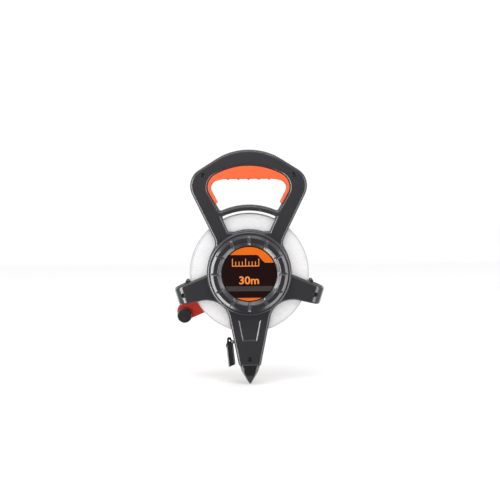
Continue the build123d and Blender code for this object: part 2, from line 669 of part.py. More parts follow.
def flange(side):
    """Reel flange with a thin raised rim; side is -1 in front and 1 at the rear."""
    with BuildPart() as disc:
        with BuildSketch(facing(-side * FLANGE_IN_Y)):
            Circle(REEL_R)
            Circle(AXLE_SQUARE * 0.73, mode=Mode.SUBTRACT)
            with PolarLocations(REEL_SCREW_R, REEL_SCREWS):
                Circle(REEL_SCREW_SHANK, mode=Mode.SUBTRACT)
        extrude(amount=-side * FLANGE_THICK)
        with BuildSketch(facing(-side * FLANGE_OUT_Y)):
            Circle(REEL_R)
            Circle(REEL_R - LIP_WIDTH, mode=Mode.SUBTRACT)
        extrude(amount=-side * (LIP_Y - FLANGE_OUT_Y))
        rims = disc.edges().filter_by(GeomType.CIRCLE).group_by(SortBy.RADIUS)[-1]
        fillet(rims, 0.5)
    return disc


save(flange(-1), "front_flange")
save(flange(1), "rear_flange")

with BuildPart() as reel_screws:
    for side in (-1, 1):
        with BuildSketch(facing(-side * FLANGE_OUT_Y)):
            with PolarLocations(REEL_SCREW_R, REEL_SCREWS):
                Circle(REEL_SCREW_HEAD)
        extrude(amount=-side * 1.0)
        with BuildSketch(facing(-side * FLANGE_OUT_Y)):
            with PolarLocations(REEL_SCREW_R, REEL_SCREWS):
                Circle(REEL_SCREW_SHANK)
        extrude(amount=side * 7.0)
save(reel_screws, "reel_screws")

with BuildPart() as tape_coil:
    with BuildSketch(facing(-TAPE_WIDTH / 2)):
        Circle(COIL_OUTER_R)
        Circle(COIL_INNER_R, mode=Mode.SUBTRACT)
    extrude(amount=TAPE_WIDTH)
save(tape_coil, "tape_coil")

# ======================================================================
# Folding crank, drawn folded. Its own directions: along the arm, and across it.
# ======================================================================

ALONG = Vector(cos(radians(CRANK_ANGLE)), 0, sin(radians(CRANK_ANGLE)))
ACROSS = Vector(ALONG.Z, 0, -ALONG.X)


def crank_plan(depth):
    """Plane at y = depth, x along the folded arm and y across it; it extrudes to the rear."""
    return Plane(origin=(0, depth, 0), x_dir=ALONG, z_dir=(0, 1, 0))


def crank_side(offset):
    """Plane across the arm's width whose x runs along the arm and whose y is Y."""
    return Plane(origin=ACROSS * offset, x_dir=ALONG, z_dir=-ACROSS)


with BuildPart() as crank_hub:
    with BuildSketch(crank_plan(CRANK_HUB_Y)):
        Circle(CRANK_HUB_R)
    extrude(amount=CRANK_HUB_TOP_Y - CRANK_HUB_Y)
    fillet(crank_hub.faces().sort_by(Axis.Y)[-1].edges(), 1.2)
    for side in (-1, 1):
        with BuildSketch(crank_side(side * (EAR_IN + EAR_OUT) / 2)):
            with Locations((0, HINGE_Y)):
                Circle(EAR_R)
            Polygon((-EAR_FOOT, CRANK_HUB_TOP_Y - 1), (EAR_FOOT, CRANK_HUB_TOP_Y - 1),
                    (EAR_R - 0.2, HINGE_Y), (0.2 - EAR_R, HINGE_Y), align=None)
        extrude(amount=(EAR_OUT - EAR_IN) / 2, both=True)
    with BuildSketch(crank_side(0)):
        with Locations((0, HINGE_Y)):
            Circle(HINGE_PIN_R)
    extrude(amount=EAR_OUT + 1, both=True, mode=Mode.SUBTRACT)
    with BuildSketch(crank_plan(CRANK_HUB_Y)):
        with Locations(Location((0, 0, 0), CRANK_ANGLE)):
            Rectangle(DRIVE_SQUARE, DRIVE_SQUARE)
    extrude(amount=AXLE_REAR_Y - CRANK_HUB_Y, mode=Mode.SUBTRACT)
    with BuildSketch(crank_plan(AXLE_REAR_Y)):
        Circle(HUB_SCREW_HEAD)
    extrude(amount=CRANK_HUB_TOP_Y - AXLE_REAR_Y, mode=Mode.SUBTRACT)
save(crank_hub, "crank_hub")

with BuildPart() as crank_hub_screw:
    with BuildSketch(crank_plan(AXLE_REAR_Y)):
        Circle(HUB_SCREW_HEAD)
    extrude(amount=HUB_SCREW_HEAD_H)
    with BuildSketch(crank_plan(AXLE_REAR_Y)):
        Circle(HUB_SCREW_R)
    extrude(amount=1 - HUB_SCREW_DEPTH)
    with BuildSketch(crank_plan(AXLE_REAR_Y + HUB_SCREW_HEAD_H)):
        Rectangle(4.6, 1.0)
        Rectangle(1.0, 4.6)
    extrude(amount=-1.0, mode=Mode.SUBTRACT)
save(crank_hub_screw, "crank_hub_screw")

with BuildPart() as crank_hinge_pin:
    with BuildSketch(crank_side(0)):
        with Locations((0, HINGE_Y)):
            Circle(HINGE_PIN_R)
    extrude(amount=EAR_OUT, both=True)
    for side in (-1, 1):
        with BuildSketch(crank_side(side * (EAR_OUT + 0.4))):
            with Locations((0, HINGE_Y)):
                Circle(HINGE_PIN_R + 1)
        extrude(amount=0.4, both=True)
save(crank_hinge_pin, "crank_hinge_pin")

LOW_Y = HINGE_Y - CRANK_THICK / 2
HIGH_Y = HINGE_Y + CRANK_THICK / 2

with BuildPart() as crank_arm:
    with BuildSketch(crank_plan(LOW_Y - 1)):
        with BuildLine():
            tip = CenterArc(ARM_TIP, ARM_TIP_R, -78.5, 157)
            low = Line(tip @ 0, (50.0, -17.2))
            low_root = Polyline(low @ 1, (20.0, -17.2), (10.0, -ARM_ROOT_HALF),
                                (-HINGE_BARREL_R, -ARM_ROOT_HALF))
            high = Line(tip @ 1, (50.0, 19.6))
            high_root = Polyline(high @ 1, (20.0, 17.2), (10.0, ARM_ROOT_HALF),
                                 (-HINGE_BARREL_R, ARM_ROOT_HALF))
            Line(low_root @ 1, high_root @ 1)
        make_face()
    extrude(amount=CRANK_THICK + DOGLEG + 2)
    with BuildSketch(crank_side(0)):
        with Locations((0, HINGE_Y)):
            Circle(HINGE_BARREL_R)
        Polygon((0, LOW_Y), (51.0, LOW_Y), (73.0, LOW_Y + DOGLEG), (112, LOW_Y + DOGLEG),
                (112, HIGH_Y + DOGLEG), (71.0, HIGH_Y + DOGLEG), (49.0, HIGH_Y), (0, HIGH_Y), align=None)
    extrude(amount=30, both=True, mode=Mode.INTERSECT)
    with BuildSketch(crank_side(0)):
        with Locations((0, HINGE_Y)):
            Circle(HINGE_PIN_R + RUNNING)
    extrude(amount=30, both=True, mode=Mode.SUBTRACT)
    with BuildSketch(crank_plan(HIGH_Y)):
        with Locations((KNOB_REACH, 0)):
            Circle(KNOB_PIN_R)
    extrude(amount=DOGLEG + 5, both=True, mode=Mode.SUBTRACT)
save(crank_arm, "crank_arm")

KNOB_BACK_Y = LOW_Y + DOGLEG - 0.3
KNOB_FRONT_Y = KNOB_BACK_Y - KNOB_LENGTH

with BuildPart() as knob_pin:
    with BuildSketch(crank_plan(HIGH_Y + DOGLEG)):
        with Locations((KNOB_REACH, 0)):
            Circle(KNOB_PIN_R + 2)
    extrude(amount=1.2)
    with BuildSketch(crank_plan(HIGH_Y + DOGLEG)):
        with Locations((KNOB_REACH, 0)):
            Circle(KNOB_PIN_R)
    extrude(amount=KNOB_FRONT_Y + 4 - HIGH_Y - DOGLEG)
    with BuildSketch(crank_plan(KNOB_FRONT_Y + 3.6)):
        with Locations((KNOB_REACH, 0)):
            Circle(KNOB_PIN_R + 0.5)
    extrude(amount=2.0)
save(knob_pin, "knob_pin")

with BuildPart() as crank_knob:
    with BuildSketch(crank_plan(KNOB_FRONT_Y)):
        with Locations((KNOB_REACH, 0)):
            Circle(KNOB_R)
    extrude(amount=KNOB_LENGTH)
    fillet(crank_knob.faces().filter_by(Axis.Y).edges(), 1.0)
    with BuildSketch(crank_plan(KNOB_FRONT_Y)):
        with Locations((KNOB_REACH, 0)):
            with PolarLocations(KNOB_R + 0.35, KNOB_FLUTES):
                Circle(0.7)
    extrude(amount=KNOB_LENGTH, mode=Mode.SUBTRACT)
    with BuildSketch(crank_plan(KNOB_FRONT_Y + 3)):
        with Locations((KNOB_REACH, 0)):
            Circle(KNOB_PIN_R + RUNNING)
    extrude(amount=KNOB_LENGTH, mode=Mode.SUBTRACT)
    with BuildSketch(crank_plan(KNOB_FRONT_Y + 3)):
        with Locations((KNOB_REACH, 0)):
            Circle(KNOB_PIN_R + 0.8)
    extrude(amount=3.2, mode=Mode.SUBTRACT)
save(crank_knob, "crank_knob")

# ======================================================================
# Tape lead, end clip, wire loop and end hook
# ======================================================================

with BuildPart() as tape_lead:
    lead_length = (Vector(*CLIP_PIVOT) - TANGENT_POINT).length - CLIP_BARREL_R
    with BuildSketch(facing(-TAPE_WIDTH / 2)):
        with Locations(Location(tuple(on_tape(CLIP_BARREL_R + lead_length / 2)), TAPE_SLOPE)):
            Rectangle(lead_length, TAPE_THICK)
    extrude(amount=TAPE_WIDTH)
    with BuildSketch(Plane(origin=(on_tape(RIVET_BACK).X, 0, on_tape(RIVET_BACK).Y),
                           x_dir=(0, 1, 0), z_dir=(TAPE_UP.X, 0, TAPE_UP.Y))):
        Circle(RIVET_R)
    extrude(amount=1, both=True, mode=Mode.SUBTRACT)
save(tape_lead, "tape_lead")

with BuildPart() as tape_end_clip:
    with BuildSketch(facing(-BARREL_HALF)):
        with Locations(Location(CLIP_PIVOT)):
            Circle(CLIP_BARREL_R)
        with Locations(Location(tuple(on_tape(CLIP_LENGTH / 2)), TAPE_SLOPE)):
            Rectangle(CLIP_LENGTH, TAPE_THICK + 2 * CLIP_PLATE)
        with Locations(Location(tuple(on_tape(CLIP_BARREL_R + CLIP_LENGTH)), TAPE_SLOPE)):
            Rectangle(2 * CLIP_LENGTH, TAPE_THICK, mode=Mode.SUBTRACT)
        with Locations(Location(CLIP_PIVOT)):
            Circle(WIRE_BORE_R, mode=Mode.SUBTRACT)
    extrude(amount=2 * BARREL_HALF)
    with BuildSketch(Plane(origin=(on_tape(RIVET_BACK).X, 0, on_tape(RIVET_BACK).Y),
                           x_dir=(0, 1, 0), z_dir=(TAPE_UP.X, 0, TAPE_UP.Y))):
        Circle(RIVET_R)
    extrude(amount=2, both=True, mode=Mode.SUBTRACT)
save(tape_end_clip, "tape_end_clip")

with BuildPart() as end_rivet:
    rivet_plane = Plane(origin=(on_tape(RIVET_BACK).X, 0, on_tape(RIVET_BACK).Y),
                        x_dir=(0, 1, 0), z_dir=(TAPE_UP.X, 0, TAPE_UP.Y))
    stack = TAPE_THICK / 2 + CLIP_PLATE
    with BuildSketch(rivet_plane):
        Circle(RIVET_R)
    extrude(amount=stack, both=True)
    for side in (-1, 1):
        with BuildSketch(rivet_plane.offset(side * (stack + 0.25))):
            Circle(RIVET_R + 0.6)
        extrude(amount=0.25, both=True)
save(end_rivet, "end_rivet")

LOOP_SPAN = Vector(*HOOK_PIVOT) - Vector(*CLIP_PIVOT)

with BuildPart() as end_loop:
    reach = Vector(LOOP_SPAN.X, 0, LOOP_SPAN.Y)
    loop_plane = Plane(origin=(CLIP_PIVOT[0], 0, CLIP_PIVOT[1]), x_dir=reach,
                       z_dir=reach.cross(Vector(0, 1, 0)))
    with BuildLine(loop_plane):
        wire = FilletPolyline((0, -LOOP_HALF_WIDTH), (0, LOOP_HALF_WIDTH), (reach.length, LOOP_HALF_WIDTH),
                              (reach.length, -LOOP_HALF_WIDTH), radius=1.2, close=True)
    with BuildSketch(Plane(origin=wire @ 0, z_dir=wire % 0)):
        Circle(WIRE_R)
    sweep()
save(end_loop, "end_loop")

DOWN = Vector(sin(radians(HOOK_TILT)), 0, -cos(radians(HOOK_TILT)))
HOOK_ACROSS = Vector(cos(radians(HOOK_TILT)), 0, sin(radians(HOOK_TILT)))
HALF = HOOK_THICK / 2


def hook_plane(y):
    """Plane at y through the hook's pivot: its x crosses the hook and its y points up it."""
    return Plane(origin=(HOOK_PIVOT[0], y, HOOK_PIVOT[1]), x_dir=HOOK_ACROSS, z_dir=(0, -1, 0))


with BuildPart() as end_hook:
    with BuildSketch(hook_plane(BARREL_HALF)):
        Circle(HOOK_EYE_R)
        Polygon((-HOOK_EYE_R, -0.6), (HOOK_EYE_R, -0.6), (HOOK_EYE_R - 0.5, -HOOK_NECK - 1),
                (-HALF, -HOOK_NECK - 1), align=None)
    extrude(amount=2 * BARREL_HALF)
    with BuildSketch(hook_plane(HOOK_WIDTH / 2)):
        Polygon((-HALF - 0.7, -HOOK_NECK - 0.5), (-HALF + 0.6, -HOOK_NECK + 0.4), (HALF - 0.8, -HOOK_NECK),
                (HALF, -HOOK_NECK - 2), (HALF, 2.4 - HOOK_LENGTH), (-HALF, -HOOK_LENGTH),
                (-HALF, -HOOK_NECK - 2.4), (-HALF - 0.7, -HOOK_NECK - 1.6), align=None)
    extrude(amount=HOOK_WIDTH)
    with BuildSketch(Plane(origin=(HOOK_PIVOT[0], 0, HOOK_PIVOT[1]), x_dir=HOOK_ACROSS, z_dir=DOWN)):
        RectangleRounded(2 * HALF + 1.4, HOOK_WIDTH, HOOK_ROUND_R)
    extrude(amount=2 * HOOK_LENGTH, both=True, mode=Mode.INTERSECT)
    side_plane = Plane(origin=(HOOK_PIVOT[0], 0, HOOK_PIVOT[1]), x_dir=(0, 1, 0), z_dir=HOOK_ACROSS)
    with BuildSketch(side_plane):
        with Locations((0, -HOOK_WINDOW_MID)):
            RectangleRounded(HOOK_WINDOW_WIDTH, HOOK_WINDOW_HEIGHT, 3)
        with Locations((0, -NAIL_HOLE_DOWN)):
            Circle(NAIL_HOLE_R)
    extrude(amount=HOOK_THICK, both=True, mode=Mode.SUBTRACT)
    with BuildSketch(hook_plane(BARREL_HALF + 1)):
        Circle(WIRE_BORE_R)
    extrude(amount=2 * BARREL_HALF + 2, mode=Mode.SUBTRACT)
save(end_hook, "end_hook")
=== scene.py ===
from math import atan2, cos, degrees, pi, radians, sin, sqrt

import bpy
from mathutils import Matrix, Vector


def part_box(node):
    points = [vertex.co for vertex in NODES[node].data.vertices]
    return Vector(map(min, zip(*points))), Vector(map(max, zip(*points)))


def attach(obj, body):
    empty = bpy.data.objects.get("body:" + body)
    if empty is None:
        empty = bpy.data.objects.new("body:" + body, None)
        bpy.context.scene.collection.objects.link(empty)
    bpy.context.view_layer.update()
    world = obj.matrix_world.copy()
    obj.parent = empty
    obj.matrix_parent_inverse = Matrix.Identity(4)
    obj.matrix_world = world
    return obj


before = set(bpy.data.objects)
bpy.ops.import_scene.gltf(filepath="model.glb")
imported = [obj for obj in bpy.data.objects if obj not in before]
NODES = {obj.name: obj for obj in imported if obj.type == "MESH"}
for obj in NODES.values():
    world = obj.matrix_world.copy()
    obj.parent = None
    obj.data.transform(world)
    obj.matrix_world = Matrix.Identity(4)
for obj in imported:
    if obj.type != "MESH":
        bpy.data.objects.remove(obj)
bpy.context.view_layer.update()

# Looks of an open-reel tape measure. Metres, +Z up, the front faces -Y.
MM = 0.001


# ======================================================================
# Camera, light and floor
# ======================================================================

VIEW_DISTANCE = 1.50            # from the front face of the frame to the lens
VIEW_WIDTH = 0.600              # width of the picture at that face
VIEW_AIM = (0.0011, 0.0281)     # X and Z of the picture's centre on that face
VIEW_TILT = radians(3.8)        # the camera looks down by this much
VIEW_ROLL = radians(-0.45)
SENSOR = 36.0
PLATE_AHEAD = 16.0 * MM         # from the halves' joint to the frame's front face

SKY = 1.04                      # strength of the white surroundings
SIDE_BOX_X = 0.75               # the side boxes stand this far out, and reach below the floor
SIDE_BOX_Z = -0.45
SIDE_BOX_SIZE = (0.55, 1.8)
SIDE_BOXES = [("front", -0.85, 14.0, 6.0), ("rear", 0.85, 1.8, 1.2)]    # depth, left and right radiance
CARD_HALF = 0.85                # half the width of a dark card
CARD_FOOT, CARD_HEAD = -3.5, 0.26
CARD_SETBACK = 2.2              # how much deeper a card stands than the boxes on its side


def make_camera():
    """A camera in front of the tape measure and a little above it."""
    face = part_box("rear_frame")[0].y - PLATE_AHEAD
    data = bpy.data.cameras.new("camera")
    data.sensor_width = SENSOR
    data.lens = SENSOR * VIEW_DISTANCE / VIEW_WIDTH
    camera = bpy.data.objects.new("camera", data)
    aim = Vector((VIEW_AIM[0], face, VIEW_AIM[1]))
    camera.location = aim + VIEW_DISTANCE * Vector((0, -cos(VIEW_TILT), sin(VIEW_TILT)))
    turn = Matrix.Rotation(pi / 2 - VIEW_TILT, 3, "X") @ Matrix.Rotation(VIEW_ROLL, 3, "Z")
    camera.rotation_euler = turn.to_euler()
    bpy.context.scene.collection.objects.link(camera)
    bpy.context.scene.camera = camera


def make_softbox(name, place, size, radiance, fills=True):
    """A rectangular soft light at place.

    One that fills is turned towards the hub. One that doesn't is level, and only gloss sees it.
    """
    data = bpy.data.lights.new(name, "AREA")
    data.shape = "RECTANGLE"
    data.size, data.size_y = size
    data.energy = radiance * pi * size[0] * size[1]
    light = bpy.data.objects.new(name, data)
    light.location = place
    aim = Vector((0, 0, 0 if fills else place[2]))
    light.rotation_euler = (aim - Vector(place)).to_track_quat("-Z", "Y").to_euler()
    light.visible_camera = False
    light.visible_diffuse = fills
    bpy.context.scene.collection.objects.link(light)


def make_flag(name, depth):
    """A large dark card that only gloss sees, so that flat black plastic stays dark."""
    corners = [(-CARD_HALF, depth, CARD_FOOT), (CARD_HALF, depth, CARD_FOOT),
               (CARD_HALF, depth, CARD_HEAD), (-CARD_HALF, depth, CARD_HEAD)]
    mesh = bpy.data.meshes.new(name)
    mesh.from_pydata(corners, [], [(0, 1, 2, 3)])
    card = bpy.data.objects.new(name, mesh)
    tree = Tree(name, 0.9, 0.1)
    mesh.materials.append(tree.finish(tree.mix(tree.noise(0.1), (0.04, 0.04, 0.04), (0.06, 0.06, 0.06))))
    card.visible_camera = False
    card.visible_diffuse = False
    card.visible_shadow = False
    bpy.context.scene.collection.objects.link(card)


def make_light():
    """White surroundings, a softbox above, two on each side, and dark cards before and behind."""
    world = bpy.data.worlds.new("studio")
    world.use_nodes = True
    background = world.node_tree.nodes["Background"]
    background.inputs["Color"].default_value = (1.0, 1.0, 1.0, 1.0)
    background.inputs["Strength"].default_value = SKY
    bpy.context.scene.world = world
    bpy.context.scene.view_settings.view_transform = "Standard"
    make_softbox("top_box", (-0.1, -0.55, 0.90), (1.0, 0.4), 4.0)
    for side, depth, left, right in SIDE_BOXES:
        left_place, right_place = (-SIDE_BOX_X, depth, SIDE_BOX_Z), (SIDE_BOX_X, depth, SIDE_BOX_Z)
        make_softbox(f"left_box_{side}", left_place, SIDE_BOX_SIZE, left, fills=False)
        make_softbox(f"right_box_{side}", right_place, SIDE_BOX_SIZE, right, fills=False)
        make_flag(f"{side}_card", depth * CARD_SETBACK)


def make_floor():
    """Pale floor under the spike's tip."""
    reach = 4.0
    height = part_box("ground_spike")[0].z
    mesh = bpy.data.meshes.new("floor")
    corners = [(x * reach, y * reach, height) for x, y in ((-1, -1), (1, -1), (1, 1), (-1, 1))]
    mesh.from_pydata(corners, [], [(0, 1, 2, 3)])
    floor = bpy.data.objects.new("floor", mesh)
    floor.data.materials.append(painted_floor())
    floor.visible_glossy = False
    bpy.context.scene.collection.objects.link(floor)


# ======================================================================
# Materials
# ======================================================================

class Tree:
    """One material's node tree, with short ways to add nodes to it. Sizes are in metres."""

    def __init__(self, name, roughness=0.5, specular=0.5, **sockets):
        self.material = bpy.data.materials.new(name)
        self.material.use_nodes = True
        self.nodes = self.material.node_tree.nodes
        self.links = self.material.node_tree.links
        self.shader = self.nodes["Principled BSDF"]
        self.shader.inputs["Roughness"].default_value = roughness
        self.shader.inputs["Specular IOR Level"].default_value = specular
        for socket, value in sockets.items():
            self.shader.inputs[socket.replace("_", " ").title()].default_value = value
        self.place = self.nodes.new("ShaderNodeTexCoord").outputs["Object"]

    def put(self, socket, value):
        """Links value to socket if it is an output, or sets it."""
        if isinstance(value, bpy.types.NodeSocket):
            self.links.new(value, socket)
        else:
            socket.default_value = value

    def math(self, operation, *values, clamp=False):
        node = self.nodes.new("ShaderNodeMath")
        node.operation = operation
        node.use_clamp = clamp
        for socket, value in zip(node.inputs, values):
            self.put(socket, value)
        return node.outputs[0]

    def axes(self):
        """X, Y and Z of the point, in the frame's own axes."""
        node = self.nodes.new("ShaderNodeSeparateXYZ")
        self.put(node.inputs[0], self.place)
        return node.outputs

    def radius(self):
        """Distance from the reel's axis."""
        x, _, z = self.axes()
        squares = self.math("ADD", self.math("MULTIPLY", x, x), self.math("MULTIPLY", z, z))
        return self.math("SQRT", squares)

    def noise(self, size, detail=2.0, stretch=(1, 1, 1)):
        """Noise from 0 to 1 with features of about this size."""
        spread = self.nodes.new("ShaderNodeMapping")
        self.put(spread.inputs["Vector"], self.place)
        spread.inputs["Scale"].default_value = [1 / (size * s) for s in stretch]
        node = self.nodes.new("ShaderNodeTexNoise")
        self.put(node.inputs["Vector"], spread.outputs[0])
        node.inputs["Scale"].default_value = 1.0
        node.inputs["Detail"].default_value = detail
        return node.outputs[0]

    def cells(self, size):
        """Distance to the nearest of many scattered points, about 0 to 1."""
        node = self.nodes.new("ShaderNodeTexVoronoi")
        self.put(node.inputs["Vector"], self.place)
        node.inputs["Scale"].default_value = 1 / size
        return node.outputs["Distance"]

    def ramp(self, value, low, high, out_low=0.0, out_high=1.0):
        """Maps low..high to out_low..out_high, held at both ends."""
        node = self.nodes.new("ShaderNodeMapRange")
        for socket, number in zip(node.inputs, (value, low, high, out_low, out_high)):
            self.put(socket, number)
        return node.outputs[0]

    def mix(self, share, colour_a, colour_b):
        node = self.nodes.new("ShaderNodeMix")
        node.data_type = "RGBA"
        self.put(node.inputs[0], share)
        for socket, colour in ((node.inputs[6], colour_a), (node.inputs[7], colour_b)):
            self.put(socket, colour if isinstance(colour, bpy.types.NodeSocket) else (*colour, 1.0))
        return node.outputs[2]

    def edges(self, radius):
        """About 1 on corners sharper than radius, 0 on open faces."""
        rounded = self.nodes.new("ShaderNodeBevel")
        rounded.samples = 4
        rounded.inputs["Radius"].default_value = radius
        plain = self.nodes.new("ShaderNodeNewGeometry")
        dot = self.nodes.new("ShaderNodeVectorMath")
        dot.operation = "DOT_PRODUCT"
        self.put(dot.inputs[0], rounded.outputs[0])
        self.put(dot.inputs[1], plain.outputs["Normal"])
        return self.ramp(dot.outputs["Value"], 0.98, 0.80)

    def bump(self, height, depth, below=None, rounding=None):
        """Adds relief of this depth on top of an earlier one, and returns its normal."""
        node = self.nodes.new("ShaderNodeBump")
        node.inputs["Strength"].default_value = 1.0
        node.inputs["Distance"].default_value = depth
        self.put(node.inputs["Height"], height)
        if below is not None:
            self.put(node.inputs["Normal"], below)
        elif rounding:
            rounded = self.nodes.new("ShaderNodeBevel")
            rounded.samples = 4
            rounded.inputs["Radius"].default_value = rounding
            self.put(node.inputs["Normal"], rounded.outputs[0])
        return node.outputs[0]

    def finish(self, colour, roughness=None, normal=None):
        self.put(self.shader.inputs["Base Color"], colour)
        if roughness is not None:
            self.put(self.shader.inputs["Roughness"], roughness)
        if normal is not None:
            self.put(self.shader.inputs["Normal"], normal)
        return self.material


def shade(colour, factor):
    """colour made lighter or darker, and kept within 0 to 1."""
    return tuple(min(1.0, part * factor) for part in colour)


def moulded(name, colour, roughness, grain=0.35 * MM, depth=0.012 * MM, mottle=0.10, wear=0.0,
            **sockets):
    """Moulded plastic: fine spark-eroded grain, faint flow mottling, edges rubbed lighter."""
    tree = Tree(name, roughness, **sockets)
    flow = tree.noise(14 * MM, 3.0)
    fine = tree.noise(grain, 3.0)
    tint = tree.mix(flow, shade(colour, 1 - mottle), shade(colour, 1 + mottle))
    speck = tree.mix(tree.ramp(fine, 0.35, 0.75, 0.0, 0.5), tint, shade(colour, 1 + 3 * mottle))
    if wear:
        scuffed = tree.ramp(tree.noise(2.2 * MM, 4.0), 0.45, 0.62)
        rubbed = tree.math("MULTIPLY", tree.edges(0.5 * MM), tree.ramp(scuffed, 0, 1, 0.35, 1.0))
        speck = tree.mix(tree.math("MULTIPLY", rubbed, wear), speck, shade(colour, 3.2))
    gloss = tree.ramp(tree.noise(3 * MM, 3.0), 0.3, 0.7, roughness - 0.015, roughness + 0.015)
    return tree.finish(speck, gloss, tree.bump(fine, depth, rounding=0.35 * MM))


def rubber(name, colour, roughness):
    """Soft-touch rubber with a matt skin and small pits."""
    tree = Tree(name, roughness, 0.35, Sheen_Weight=0.06, Sheen_Roughness=0.5)
    flow = tree.noise(9 * MM, 3.0)
    skin = tree.noise(0.22 * MM, 3.0)
    pits = tree.ramp(tree.cells(0.9 * MM), 0.0, 0.22)
    tint = tree.mix(flow, shade(colour, 0.90), shade(colour, 1.06))
    tint = tree.mix(tree.ramp(skin, 0.4, 0.8, 0.0, 0.25), tint, shade(colour, 0.72))
    rough = tree.ramp(flow, 0.3, 0.7, roughness - 0.06, roughness + 0.08)
    normal = tree.bump(skin, 0.02 * MM, rounding=0.4 * MM)
    return tree.finish(tint, rough, tree.bump(pits, 0.02 * MM, below=normal))


def frosted(name, colour):
    """Milky plastic with a fine etched texture that lets a little light in, and a painted dark ring of
    shade along its rim.
    """
    tree = Tree(name, 0.5, 0.4, Subsurface_Weight=0.12, Subsurface_Scale=1.5 * MM)
    cloud = tree.noise(9 * MM, 3.0)
    speck = tree.noise(0.9 * MM, 4.0)
    tint = tree.mix(cloud, shade(colour, 0.965), shade(colour, 1.01))
    tint = tree.mix(tree.ramp(speck, 0.50, 0.66, 0.0, 0.8), tint, shade(colour, 0.80))
    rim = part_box("front_flange")[1].x
    # Painted shade: a darker ring just inside the flange's rim, standing in for the shading of its rounded
    # edge.
    painted_rim_shade = tree.ramp(tree.radius(), rim - 1.5 * MM, rim - 1.1 * MM, 0.0, 0.8)
    tint = tree.mix(painted_rim_shade, tint, shade(colour, 0.5))
    rough = tree.ramp(speck, 0.3, 0.7, 0.42, 0.62)
    normal = tree.bump(speck, 0.035 * MM, rounding=0.3 * MM)
    return tree.finish(tint, rough, normal)


def metal(name, colour, roughness, stretch=(1, 1, 1), stain=0.25):
    """Rolled or turned metal: fine draw lines and a little dull staining."""
    tree = Tree(name, roughness, Metallic=1.0)
    lines = tree.noise(0.12 * MM, 3.0, stretch)
    cloud = tree.noise(2.5 * MM, 4.0)
    tint = tree.mix(lines, shade(colour, 0.85), shade(colour, 1.1))
    tint = tree.mix(tree.ramp(cloud, 0.45, 0.8, 0.0, stain), tint, shade(colour, 0.45))
    rough = tree.ramp(cloud, 0.3, 0.7, roughness - 0.05, roughness + 0.14)
    return tree.finish(tint, rough, tree.bump(lines, 0.006 * MM, rounding=0.15 * MM))


def printed(name, colour, roughness=0.20):
    """Printed film: an even ink with a faint screen grain under a clear skin."""
    tree = Tree(name, roughness, 0.4)
    grain = tree.noise(0.18 * MM, 2.0)
    cloud = tree.noise(12 * MM, 2.0)
    tint = tree.mix(grain, shade(colour, 0.93), shade(colour, 1.06))
    tint = tree.mix(tree.ramp(cloud, 0.3, 0.8, 0.0, 0.2), tint, shade(colour, 0.85))
    return tree.finish(tint, None, tree.bump(grain, 0.004 * MM))


def painted_floor():
    """Plain pale floor with a barely visible grain."""
    tree = Tree("floor_pale", 0.75, 0.2)
    grain = tree.noise(3 * MM, 3.0)
    return tree.finish(tree.mix(grain, (0.94, 0.94, 0.94), (0.97, 0.97, 0.97)))


# ---- printed tape ----
TAPE_YELLOW = (0.86, 0.60, 0.03)
TAPE_INK = (0.015, 0.015, 0.017)
TAPE_HALF = 6.5 * MM
# pitch of a row of marks, the share of the pitch that is inked, and a mark's length
MARKS = [(1 * MM, 0.22, 1.7 * MM), (5 * MM, 0.06, 2.5 * MM), (10 * MM, 0.035, 3.6 * MM)]


def graduated(tree, along, across, on_face):
    """Tape colour with millimetre, half and whole centimetre marks on both edges."""
    edge = tree.math("SUBTRACT", TAPE_HALF, tree.math("ABSOLUTE", across))
    marks = None
    for pitch, width, length in MARKS:
        turn = tree.math("FRACT", tree.math("DIVIDE", along, pitch))
        line = tree.math("LESS_THAN", turn, width)
        mark = tree.math("MULTIPLY", line, tree.math("LESS_THAN", edge, length))
        marks = mark if marks is None else tree.math("MAXIMUM", marks, mark)
    marks = tree.math("MULTIPLY", marks, on_face)
    cloth = tree.noise(0.25 * MM, 2.0)
    cloud = tree.noise(7 * MM, 3.0)
    tint = tree.mix(cloud, shade(TAPE_YELLOW, 0.88), shade(TAPE_YELLOW, 1.06))
    tint = tree.mix(tree.ramp(cloth, 0.4, 0.8, 0.0, 0.3), tint, shade(TAPE_YELLOW, 0.7))
    worn = tree.math("MULTIPLY", marks, tree.ramp(cloud, 0.25, 0.75, 1.0, 0.85))
    return tree.finish(tree.mix(worn, tint, TAPE_INK), None, tree.bump(cloth, 0.012 * MM))


def coil_tape():
    """Wound tape: marks round its outer turn."""
    tree = Tree("tape_wound", 0.38, 0.45)
    x, y, z = tree.axes()
    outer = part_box("tape_coil")[1].x
    along = tree.math("MULTIPLY", tree.math("ARCTAN2", z, x), outer)
    return graduated(tree, along, y, tree.math("GREATER_THAN", tree.radius(), outer - 0.3 * MM))


def straight_tape():
    """The tape's straight run, with marks counted from its end clip."""
    tree = Tree("tape_straight", 0.38, 0.45)
    low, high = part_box("tape_lead")
    slope = atan2(high.z - low.z, high.x - low.x)
    x, y, z = tree.axes()
    across_run = tree.math("MULTIPLY", tree.math("SUBTRACT", x, low.x), cos(slope))
    down_run = tree.math("MULTIPLY", tree.math("SUBTRACT", z, low.z), sin(slope))
    return graduated(tree, tree.math("ADD", across_run, down_run), y, 1.0)


# ======================================================================
# Pieces
# ======================================================================

def prism(name, outline, front, back, material, body, slot):
    """A flat piece with this outline of (x, z) points, between two depths."""
    count = len(outline)
    corners = [(x, y, z) for y in (front, back) for x, z in outline]
    sides = [(i, i + count, (i + 1) % count + count, (i + 1) % count) for i in range(count)]
    mesh = bpy.data.meshes.new(name)
    ends = [tuple(range(count)), tuple(reversed(range(count, 2 * count)))]
    mesh.from_pydata(corners, [], [*ends, *sides])
    return place(name, mesh, material, body, slot)


def place(name, mesh, material, body, slot):
    """Makes a mesh into a piece that rides on a body."""
    mesh.materials.clear()
    mesh.materials.append(material)
    piece = bpy.data.objects.new(name, mesh)
    bpy.context.scene.collection.objects.link(piece)
    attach(piece, body)
    return piece


